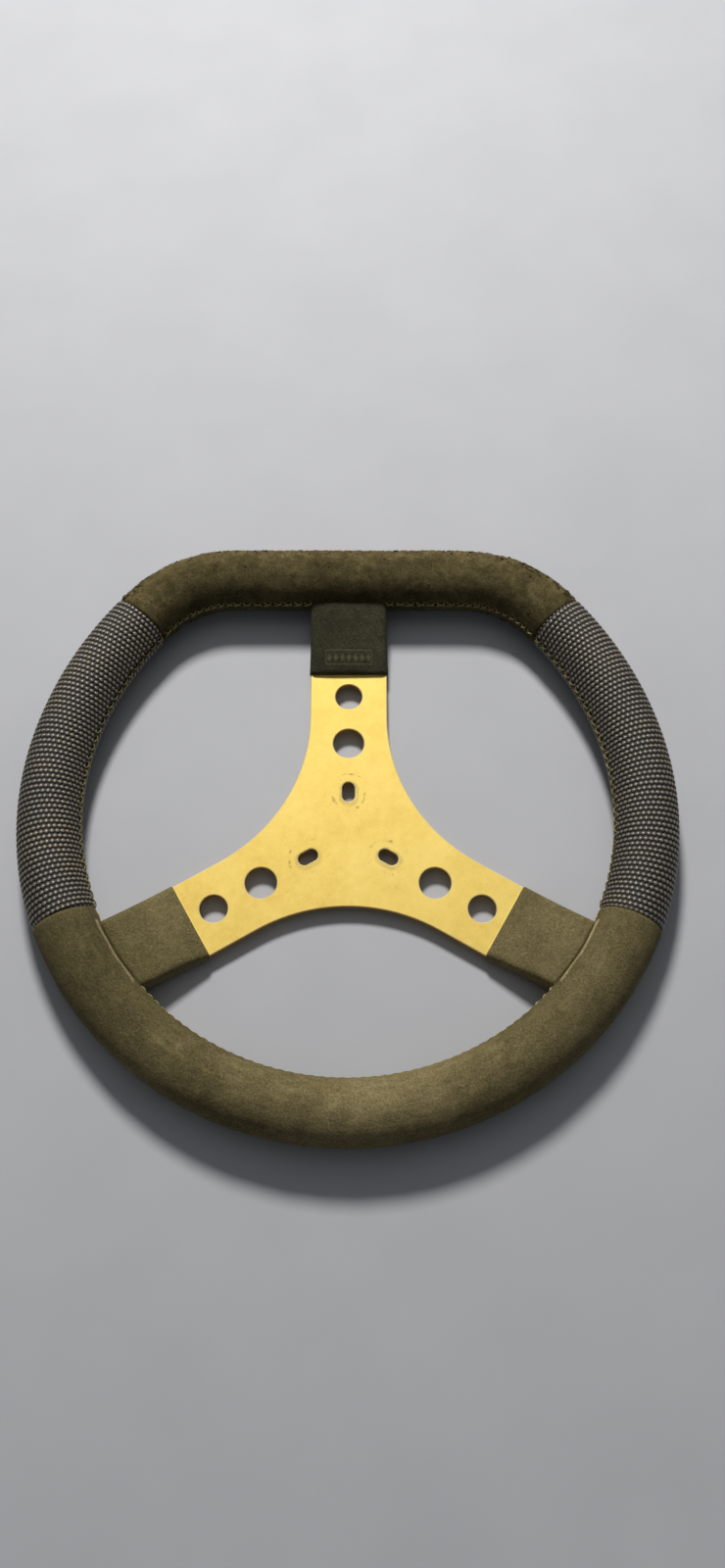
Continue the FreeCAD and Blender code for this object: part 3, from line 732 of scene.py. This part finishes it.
def suede_material(name, dark, middle, light, specks, streaks, worn_side_and_inner_shade=0.0, mottle=0.0):
    """Short brushed nap: broad shading, clumps, fine grain, dark rubbed specks and pale worn streaks.

    The worn-side argument is how much paler the outer side of the rim is; when it is set, painted shade
    also darkens the skin near the inner seam. mottle moves weight from grain to clumps."""
    f = Finish(name, Sheen_Weight=0.22, Sheen_Roughness=0.5, Sheen_Tint=light, Specular_IOR_Level=0.15)
    broad = f.noise(42 * MM, 3, 0.5)
    clumps = f.noise(5 * MM, 3, 0.5, distortion=0.4)
    grain = f.noise(0.95 * MM, 4, 0.8)
    lengthwise = f.combine(f.math("MULTIPLY", f.attribute("along"), 0.2), f.attribute("turn"))
    drag = f.noise(2.4 * MM, 4, 0.6, vector=lengthwise, distortion=0.3)
    tone = f.blend((broad, 0.24), (clumps, 0.12 + mottle), (grain, 0.56 - mottle), (drag, 0.08))
    shade = f.ramp(tone, (0.38, dark), (0.5, middle), (0.62, light))
    rubbed = f.stretch(f.math("MULTIPLY", drag, f.noise(24 * MM, 2)), 0.24, 0.40)
    shade = f.mix(f.math("MULTIPLY", rubbed, streaks), shade, light)
    if worn_side_and_inner_shade:
        side = f.stretch(f.attribute("around"), 24 * MM, 42 * MM, 0.0, worn_side_and_inner_shade)
        shade = f.mix(side, shade, (2.1, 2.0, 2.0, 1), "MULTIPLY")
        # Painted shade: the skin is darkened near the inner seam, the side turned away from the key light.
        painted_inner_shade = f.stretch(f.attribute("around"), 6 * MM, 20 * MM, 0.42, 0.0)
        shade = f.mix(painted_inner_shade, shade, (0.2, 0.2, 0.2, 1), "MULTIPLY")
    speck = f.stretch(f.noise(1.0 * MM, 3, 0.65), 0.57, 0.70)
    speck = f.math("MULTIPLY", speck, f.stretch(f.noise(9 * MM, 3, 0.6), 0.42, 0.62))
    shade = f.mix(f.math("MULTIPLY", speck, specks), shade, tuple(c * 0.3 for c in dark[:3]) + (1,))
    f.set("Base Color", shade)
    f.set("Roughness", f.stretch(tone, 0.3, 0.7, 0.98, 0.86))
    fine = f.bump(f.noise(0.4 * MM, 2, 0.7), 0.10 * MM, 0.6)
    f.set("Normal", f.bump(f.blend((grain, 0.6), (clumps, 0.4)), 0.8 * MM, 0.75, fine))
    return f


def rubs_and_fold_highlight(f, *marks):
    """Soft rubbed places on a rim cover, and a narrow pale line painted as the highlight along a fold.

    Each is its angle, turn, half length, half width, weight and brightness."""
    shade = f.shader.inputs["Base Color"].links[0].from_socket
    ragged = f.math("SUBTRACT", f.noise(7 * MM, 4, 0.65), 0.5)
    for angle, turn, half_long, half_wide, weight, bright in marks:
        s_middle = along_at(2 * math.pi + math.radians(angle))
        ds = f.math("DIVIDE", f.math("SUBTRACT", f.attribute("along"), s_middle), half_long)
        dt = f.math("SUBTRACT", f.attribute("turn"), math.radians(turn) * SUEDE_R)
        dt = f.math("DIVIDE", dt, half_wide)
        square = f.math("ADD", f.math("MULTIPLY", ds, ds), f.math("MULTIPLY", dt, dt))
        square = f.math("ADD", square, f.math("MULTIPLY", ragged, 2.2))
        mask = f.stretch(square, 0.15, 1.25, weight, 0.0)
        shade = f.mix(mask, shade, (bright, bright * 0.99, bright * 1.03, 1), "MULTIPLY")
    f.set("Base Color", shade)
    return f


def grip_material():
    """Moulded dark rubber with soft shine on the pebbles; painted shade makes it near black in the pits,
    and the paler pebble tops are partly a painted highlight, with worn patches.
    """
    f = Finish("grip_rubber", Specular_IOR_Level=1.0)
    relief = f.attribute("relief")
    worn = f.noise(26 * MM, 3, 0.5)
    fine = f.noise(0.6 * MM, 3, 0.6)
    tone = f.math("ADD", relief, f.math("MULTIPLY", f.math("SUBTRACT", fine, 0.5), 0.25))
    # Painted shade and highlight: the colour follows the pebbles' height, near black in the pits and pale
    # on the tops.
    shade = f.ramp(tone, (0.38, colour(5, 4, 4)), (0.66, colour(44, 40, 33)), (0.98, colour(124, 115, 99)))
    tint = f.mix(f.stretch(tone, 0.6, 0.95), shade, colour(150, 130, 100))
    shade = f.mix(f.stretch(worn, 0.42, 0.68, 0.0, 0.5), shade, tint)
    f.set("Base Color", shade)
    rough = f.blend((f.stretch(relief, 0.3, 0.95), -0.36), (worn, 0.10), (fine, 0.08))
    f.set("Roughness", f.math("ADD", rough, 0.60, clamp=True))
    f.set("Normal", f.bump(f.noise(0.45 * MM, 3, 0.6), 0.05 * MM, 0.4))
    return f


def thread_material(name, shaded_top, lit_bottom):
    """Waxed sewing thread in dull olive gold, with its twist as slanting ridges.

    The second and third arguments are how pale it is at the top of the rim and at the bottom: darker at
    the top is painted shade, where the seam faces away from the key light, and paler at the bottom is
    painted light."""
    f = Finish(name, Sheen_Weight=0.25, Sheen_Roughness=0.4, Specular_IOR_Level=0.3)
    twist = f.node("ShaderNodeTexWave", wave_type="BANDS", bands_direction="DIAGONAL")
    f.put(twist.inputs["Vector"], f.place)
    twist.inputs["Scale"].default_value = 420
    twist.inputs["Distortion"].default_value = 2.0
    soil = f.noise(9 * MM, 3, 0.6)
    tone = f.blend((twist.outputs["Fac"], 0.30), (soil, 0.45))
    # Painted shade and light: the thread is darker towards the top of the wheel and paler towards the
    # bottom.
    pale = f.stretch(f.vector("DOT_PRODUCT", f.place, (0, -1, 0)), -130 * MM, 90 * MM, shaded_top, lit_bottom)
    tone = f.math("ADD", tone, pale)
    dark, middle, light = colour(84, 76, 40), colour(156, 143, 88), colour(204, 192, 142)
    f.set("Base Color", f.ramp(tone, (0.28, dark), (0.58, middle), (0.85, light)))
    f.set("Roughness", f.stretch(soil, 0.3, 0.7, 0.62, 0.85))
    f.set("Normal", f.bump(twist.outputs["Fac"], 0.12 * MM, 0.6))
    return f


def boot_material(name, dark, middle, light):
    """The boots' suede: like the rim's, with a painted highlight on the top boot's upper end, paler
    pressed relief and painted shade in the creases.
    """
    f = suede_material(name, dark, middle, light, 0.55, 0.15)
    base = f.shader.inputs["Base Color"].links[0].from_socket
    # Painted highlight: the top boot's upper end is made paler.
    shade = f.mix(f.math("MULTIPLY", f.attribute("top_end_highlight"), 0.55), base, light)
    pressed = f.math("MULTIPLY", f.attribute("relief"), 0.45)
    shade = f.mix(pressed, shade, tuple(c * 1.6 for c in light[:3]) + (1,))
    # Painted shade: the crease where a lower boot meets the rim is darkened.
    painted_crease_shade = f.math("MULTIPLY", f.attribute("crease"), 0.75)
    shade = f.mix(painted_crease_shade, shade, tuple(c * 0.2 for c in dark[:3]) + (1,))
    f.set("Base Color", shade)
    return f


def slot_distance(f, place):
    """How far a point on the plate is from the edge of the nearest bolt slot."""
    nearest = None
    for angle in SPOKE_ANGLES.values():
        ux, uy = math.cos(math.radians(angle)), math.sin(math.radians(angle))
        along = f.vector("DOT_PRODUCT", place, (ux, uy, 0))
        across = f.vector("DOT_PRODUCT", place, (-uy, ux, 0))
        past = f.math("ABSOLUTE", f.math("SUBTRACT", along, SLOT_RADIUS))
        past = f.math("MAXIMUM", f.math("SUBTRACT", past, SLOT_STRAIGHT), 0.0)
        across_square = f.math("POWER", f.math("ABSOLUTE", across), 2.0)
        squares = f.math("ADD", f.math("POWER", past, 2.0), across_square)
        gap = f.math("SUBTRACT", f.math("SQRT", squares), SLOT_HALF)
        nearest = gap if nearest is None else f.math("MINIMUM", nearest, gap)
    return nearest


PLATE_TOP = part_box("spoke_plate")[1].z
SLOT_RADIUS = 23.2 * MM
SLOT_STRAIGHT = 2.0 * MM
SLOT_HALF = 3.25 * MM


def band(f, value, middle, half, soft):
    """1 where value is within half of middle, falling to 0 over soft."""
    off = f.math("ABSOLUTE", f.math("SUBTRACT", value, middle))
    return f.stretch(off, half, half + soft, 1.0, 0.0)


def gold_material():
    """Satin gold anodising: fine mottling, a painted highlight on the chamfered edges, painted shade on
    the side walls, bolt marks, an arc scratch and specks.
    """
    f = Finish("anodised_gold", Metallic=0.5, Specular_IOR_Level=0.35)
    cloud = f.noise(30 * MM, 4, 0.6)
    patch = f.noise(5 * MM, 4, 0.65)
    grain = f.noise(0.7 * MM, 3, 0.7)
    tone = f.blend((cloud, 0.45), (patch, 0.30), (grain, 0.25))
    deep, gold, pale = colour(217, 186, 92), colour(234, 207, 112), colour(246, 222, 133)
    shade = f.ramp(tone, (0.34, deep), (0.5, gold), (0.68, pale))
    normal = f.node("ShaderNodeNewGeometry").outputs["True Normal"]
    facing = f.math("ABSOLUTE", f.vector("DOT_PRODUCT", normal, (0, 0, 1)))
    # Painted highlight: the chamfers round the holes and edges are made pale.
    chamfer_highlight = band(f, facing, 0.70, 0.12, 0.08)
    shade = f.mix(f.math("MULTIPLY", chamfer_highlight, 0.8), shade, colour(255, 240, 190))
    # Painted shade: the plate's side walls and hole walls are made a darker orange-brown.
    wall_shade = f.stretch(facing, 0.25, 0.5, 0.85, 0.0)
    shade = f.mix(wall_shade, shade, colour(150, 98, 34))
    gap = slot_distance(f, f.place)
    lowered = slot_distance(f, f.vector("ADD", f.place, (-0.3 * MM, 0.9 * MM, 0)))
    shrunk = f.math("SUBTRACT", lowered, 1.3 * MM)
    ragged = f.math("MULTIPLY_ADD", f.noise(2.2 * MM, 3, 0.6), 2.6 * MM, shrunk)
    patchy = f.stretch(patch, 0.35, 0.6, 0.3, 1.0)
    halo = f.math("MULTIPLY", band(f, ragged, 0.7 * MM, 0.7 * MM, 0.8 * MM), patchy)
    shade = f.mix(f.math("MULTIPLY", halo, 0.32), shade, colour(196, 182, 136))
    ring = band(f, gap, 4.6 * MM, 0.35 * MM, 0.8 * MM)
    broken = f.stretch(f.math("MULTIPLY", f.noise(1.6 * MM, 3, 0.7), f.noise(7 * MM, 2)), 0.30, 0.38)
    ring = f.math("MULTIPLY", ring, broken)
    slot_top = f.vector("SUBTRACT", f.place, (0.0, SLOT_RADIUS, 0.0))
    flat = f.vector("MULTIPLY", slot_top, (1.0, 1.0, 0.0))
    swing = f.vector("LENGTH", flat)
    wander = f.math("MULTIPLY", f.math("SUBTRACT", f.noise(5 * MM, 2), 0.5), 1.1 * MM)
    arc_line = band(f, f.math("ADD", swing, wander), 9.9 * MM, 0.07 * MM, 0.22 * MM)
    above = f.stretch(f.vector("DOT_PRODUCT", flat, (0, 1, 0)), 7.2 * MM, 8.4 * MM)
    skips = f.stretch(f.noise(2.4 * MM, 3), 0.42, 0.56, 0.1, 0.75)
    scratch = f.math("MULTIPLY", f.math("MULTIPLY", arc_line, above), skips)
    dots = f.stretch(f.noise(1.0 * MM, 2, 0.5), 0.735, 0.77)
    dots = f.math("MULTIPLY", dots, f.stretch(f.noise(16 * MM, 2, 0.5), 0.48, 0.60))
    pecked = f.vector("LENGTH", f.vector("SUBTRACT", f.place, (-6.0 * MM, 25.0 * MM, PLATE_TOP)))
    pecks = f.stretch(f.noise(1.2 * MM, 2, 0.6), 0.60, 0.66)
    pecks = f.math("MULTIPLY", pecks, f.stretch(pecked, 3.0 * MM, 7.0 * MM, 0.8, 0.0))
    dots = f.math("MAXIMUM", dots, pecks)
    marks = f.math("MAXIMUM", f.math("MULTIPLY", ring, 0.5), f.math("MAXIMUM", scratch, dots))
    shade = f.mix(f.math("MULTIPLY", marks, 0.75), shade, colour(84, 66, 28))
    f.set("Base Color", shade)
    rough = f.blend((tone, 0.22), (halo, 0.12), (marks, 0.15))
    f.set("Roughness", f.math("ADD", rough, 0.54, clamp=True))
    fine = f.bump(f.noise(0.3 * MM, 2, 0.7), 0.02 * MM, 0.35)
    f.set("Normal", f.bump(f.math("SUBTRACT", grain, marks), 0.05 * MM, 0.35, fine))
    return f


def steel_material(name, base, rough):
    """Bare or plated metal with drawn streaks and a little tarnish."""
    f = Finish(name, Metallic=1.0)
    drawn = f.node("ShaderNodeMapping")
    f.put(drawn.inputs["Vector"], f.place)
    drawn.inputs["Scale"].default_value = (1, 8, 8)
    streak = f.noise(2 * MM, 4, 0.6, vector=drawn.outputs[0])
    stain = f.noise(11 * MM, 4, 0.6)
    tone = f.blend((streak, 0.5), (stain, 0.5))
    dark = tuple(c * 0.55 for c in base[:3]) + (1,)
    f.set("Base Color", f.ramp(tone, (0.3, dark), (0.6, base)))
    f.set("Roughness", f.math("MULTIPLY_ADD", tone, 0.25, rough))
    f.set("Normal", f.bump(streak, 0.05 * MM, 0.4))
    return f


def foam_material():
    """Moulded dark foam with open cells."""
    f = Finish("foam_open_cell", Specular_IOR_Level=0.2)
    pore = f.cells(1.1 * MM)
    age = f.noise(14 * MM, 3)
    tone = f.blend((pore, 0.6), (age, 0.4))
    f.set("Base Color", f.ramp(tone, (0.1, colour(24, 24, 25)), (0.7, colour(70, 69, 66))))
    f.set("Roughness", f.stretch(age, 0.3, 0.7, 0.85, 0.97))
    f.set("Normal", f.bump(pore, 0.4 * MM, 0.7))
    return f


def floor_material():
    """A plain pale table top with the faintest unevenness."""
    f = Finish("pale_floor", Specular_IOR_Level=0.25)
    cloud = f.noise(60 * MM, 3)
    f.set("Base Color", f.ramp(cloud, (0.3, colour(188, 190, 195)), (0.7, colour(192, 194, 199))))
    f.set("Roughness", f.stretch(f.noise(5 * MM, 3), 0.3, 0.7, 0.9, 0.93))
    return f


# ---------------------------------------------------------------- building
def extend_line():
    """The rim line carried on past the bottom, so that the lower cover can be made in one run."""
    global LINE_S, LINE_P, LINE_N, LINE_A
    length = LINE_S[-1] + 0.1 * MM
    LINE_S = np.concatenate([LINE_S, LINE_S + length])
    LINE_P = np.concatenate([LINE_P, LINE_P])
    LINE_N = np.concatenate([LINE_N, LINE_N])
    LINE_A = np.concatenate([LINE_A, LINE_A + 2 * math.pi])


def assign(names, finish):
    for name in names:
        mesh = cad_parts[name].data
        mesh.materials.clear()
        mesh.materials.append(finish.material)


def build():
    extend_line()
    lower_start, lower_end = math.pi - SEAM_LOW, 2 * math.pi + SEAM_LOW
    upper_suede = suede_material(
        "suede_upper", colour(48, 42, 23), colour(76, 68, 41), colour(109, 98, 66), 0.7, 0.10, 0.55, 0.14
    )
    lower_suede = rubs_and_fold_highlight(
        suede_material(
            "suede_lower", colour(66, 60, 37), colour(97, 88, 58), colour(128, 117, 82), 0.2, 0.15
        ),
        (-88, 62, 95 * MM, 26 * MM, 0.85, 1.5),
        (-87, 62, 26 * MM, 9 * MM, 0.5, 1.15),
        # Painted highlight: a narrow pale line along a fold in the suede, with no ridge under it.
        (-122, 79, 24 * MM, 1.3 * MM, 0.55, 1.5),
        (-136, 84, 20 * MM, 7 * MM, 0.5, 0.75),
        (-91, 101, 6 * MM, 4.5 * MM, 0.6, 0.62),
        (-82, 108, 16 * MM, 3 * MM, 0.4, 0.8),
        (-40, 70, 22 * MM, 6 * MM, 0.4, 1.3),
    )
    upper = suede_cover(
        "rim_suede_upper", SEAM_HIGH, math.pi - SEAM_HIGH, "suede_cover_upper", 21, 0.22 * MM
    )
    lower = suede_cover("rim_suede_lower", lower_start, lower_end, "suede_cover_lower", 31, 0.03 * MM)
    upper.data.materials.append(upper_suede.material)
    lower.data.materials.append(lower_suede.material)
    grip = grip_material()
    for name, start, end, node, slant in (
        ("rim_grip_right", SEAM_LOW, SEAM_HIGH, "grip_cover_right", 1),
        ("rim_grip_left", math.pi - SEAM_HIGH, math.pi - SEAM_LOW, "grip_cover_left", 2),
    ):
        grip_cover(name, start, end, node, slant).data.materials.append(grip.material)
    thread = thread_material("thread_olive", 0.22, 0.36)
    grip_thread = thread_material("thread_olive_dark", 0.0, 0.12)
    edge_suede = suede_material(
        "suede_edge", colour(108, 98, 68), colour(148, 136, 101), colour(182, 169, 130), 0.1, 0.1
    )
    for name, start, end, radius, node, seed, sunk in (
        ("seam_stitch_upper", SEAM_HIGH, math.pi - SEAM_HIGH, SUEDE_R, "seam_thread_upper", 41, 0),
        ("seam_stitch_left", math.pi - SEAM_HIGH, math.pi - SEAM_LOW, GRIP_R, "seam_thread_left", 42, 0),
        ("seam_stitch_lower", lower_start, lower_end, SUEDE_R, "seam_thread_lower", 43, 0.35 * MM),
        ("seam_stitch_right", SEAM_LOW, SEAM_HIGH, GRIP_R, "seam_thread_right", 44, 0),
    ):
        made = seam_stitches(name, start, end, radius, node, seed, sunk)
        made.data.materials.append(grip_thread.material if radius == GRIP_R else thread.material)
    upper_nap()
    lower_nap()
    for name in ("suede_nap_upper", "suede_pills_upper"):
        bpy.data.objects[name].data.materials.append(upper_suede.material)
    bpy.data.objects["suede_nap_lower"].data.materials.append(lower_suede.material)
    top_suede = boot_material("boot_suede_top", colour(38, 37, 26), colour(58, 56, 41), colour(84, 82, 60))
    low_suede = boot_material(
        "boot_suede_low", colour(78, 71, 45), colour(110, 100, 67), colour(142, 130, 92)
    )
    top = boot("top", 90, 128.6 * MM, 20.3 * MM, 4.2 * MM, 1.6 * MM, 51, ornament=True)
    top.data.materials.append(top_suede.material)
    for side, seed in (("left", 52), ("right", 53)):
        made = boot(side, SPOKE_ANGLES[side], boot_high.y, 19 * MM, 1.0 * MM, 1.1 * MM, seed)
        made.data.materials.append(low_suede.material)
        boot_welt(side, SPOKE_ANGLES[side], seed).data.materials.append(edge_suede.material)
    for side, angle in SPOKE_ANGLES.items():
        boot_stitches(side, angle, 60).data.materials.append(thread.material)
    assign(["spoke_plate"], gold_material())
    assign(["rim_core_tube"], steel_material("core_steel", colour(150, 152, 156), 0.35))
    tab_steel = steel_material("tab_steel", colour(165, 166, 168), 0.3)
    assign([f"spoke_tab_{s}" for s in SPOKE_ANGLES], tab_steel)
    rivet_metal = steel_material("rivet_metal", colour(190, 190, 188), 0.25)
    assign([f"rivets_{s}" for s in SPOKE_ANGLES], rivet_metal)
    assign(["rim_foam"], foam_material())


# ---------------------------------------------------------------- studio
FLOOR_REACH = 12.0
KEY_WATTS, KEY_SIZE, KEY_PLACE = 22, 0.28, (-0.12, 1.02, 1.14)
OVERHEAD_WATTS, OVERHEAD_SIZE, OVERHEAD_PLACE = 2.2, 1.5, (0.0, 0.5, 1.55)
ROOM_LIGHT = 0.10
BACKDROP_LIGHT = 0.30
CAMERA_PLACE = (0.00622, -0.20192, 0.60807)
CAMERA_TURN = (20.7936, -0.0882, -0.0092)
CAMERA_LENS = 29.03


def area_light(name, energy, size, place, aim, tint):
    lamp = bpy.data.lights.new(name, "AREA")
    lamp.energy = energy
    lamp.shape = "DISK"
    lamp.size = size
    lamp.color = tint
    light = bpy.data.objects.new(name, lamp)
    bpy.context.scene.collection.objects.link(light)
    direction = np.array(aim) - np.array(place)
    light.location = place
    light.rotation_euler = Vector(direction.tolist()).to_track_quat("-Z", "Y").to_euler()
    return light


def studio():
    """A pale floor under the wheel, a key light from above the top of the wheel and soft fill."""
    corners = np.array([[-1, -1, 0], [1, -1, 0], [1, 1, 0], [-1, 1, 0]]) * FLOOR_REACH
    corners[:, 2] = TABLE_Z
    mesh = mesh_of("floor", corners, np.array([[0, 1, 2, 3]]))
    floor = bpy.data.objects.new("floor", mesh)
    bpy.context.scene.collection.objects.link(floor)
    mesh.materials.append(floor_material().material)
    area_light("key", KEY_WATTS, KEY_SIZE, KEY_PLACE, (0, 0, 0), (1.0, 0.975, 0.94))
    area_light("overhead", OVERHEAD_WATTS, OVERHEAD_SIZE, OVERHEAD_PLACE, (0, 0, 0), (1.0, 0.99, 0.98))
    world = bpy.data.worlds.new("soft_room")
    world.use_nodes = True
    background = world.node_tree.nodes["Background"]
    background.inputs["Color"].default_value = (0.92, 0.95, 1.0, 1)
    background.inputs["Strength"].default_value = ROOM_LIGHT
    backdrop = world.node_tree.nodes.new("ShaderNodeBackground")
    backdrop.inputs["Color"].default_value = (0.93, 0.95, 1.0, 1)
    backdrop.inputs["Strength"].default_value = BACKDROP_LIGHT
    ray = world.node_tree.nodes.new("ShaderNodeLightPath")
    either = world.node_tree.nodes.new("ShaderNodeMixShader")
    wires = world.node_tree.links
    wires.new(ray.outputs["Is Camera Ray"], either.inputs[0])
    wires.new(background.outputs[0], either.inputs[1])
    wires.new(backdrop.outputs[0], either.inputs[2])
    wires.new(either.outputs[0], world.node_tree.nodes["World Output"].inputs["Surface"])
    bpy.context.scene.world = world
    bpy.context.scene.view_settings.view_transform = "Standard"


def camera():
    """The viewer stands at the bottom of the wheel and looks down on it."""
    data = bpy.data.cameras.new("view")
    data.lens = CAMERA_LENS
    data.sensor_width = 36
    data.clip_start = 0.01
    seen = bpy.data.objects.new("view", data)
    seen.location = CAMERA_PLACE
    seen.rotation_euler = Euler([math.radians(a) for a in CAMERA_TURN])
    bpy.context.scene.collection.objects.link(seen)
    bpy.context.scene.camera = seen


build()
studio()
camera()
bpy.context.view_layer.update()
